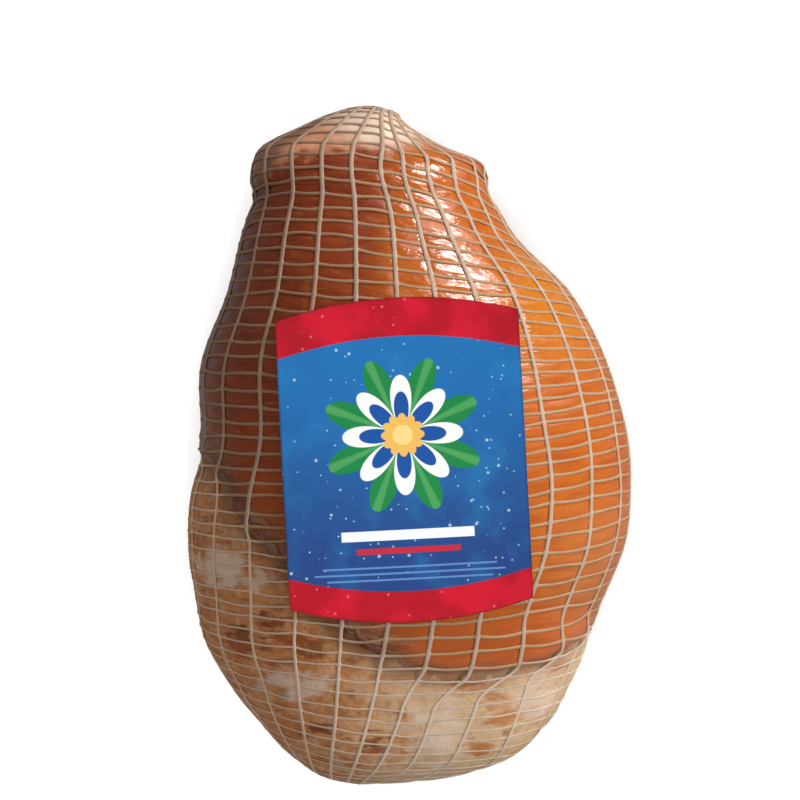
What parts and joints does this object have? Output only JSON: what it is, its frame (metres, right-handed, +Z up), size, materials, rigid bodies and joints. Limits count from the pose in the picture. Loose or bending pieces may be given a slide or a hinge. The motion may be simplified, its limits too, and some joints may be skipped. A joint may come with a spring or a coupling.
{
  "type": "bone-in ham",
  "caption": "Whole smoked bone-in ham lying skin side up in a tight elastic net tied at both ends, with a large arched paper label over the net.",
  "frame": {"origin": "on the floor, under the middle of the ham's outline", "axes": "+Z up out of the labelled skin side; +Y along the ham from the butt to the shank; +X to its right, seen from above with the shank away from the viewer"},
  "size_m": [0.2227, 0.3406, 0.1639],
  "materials": {
    "smoked_ham": "smoked skin, moist and glossy, over trimmed fat and lean at the butt",
    "printed_label": "coated printed paper",
    "net_string": "matt knitted elastic string"
  },
  "bodies": {
    "root": {"netted_ham": "smoked_ham", "label": "printed_label", "net_knot_shank": "net_string", "net_knot_butt": "net_string"}
  },
  "joints": []
}
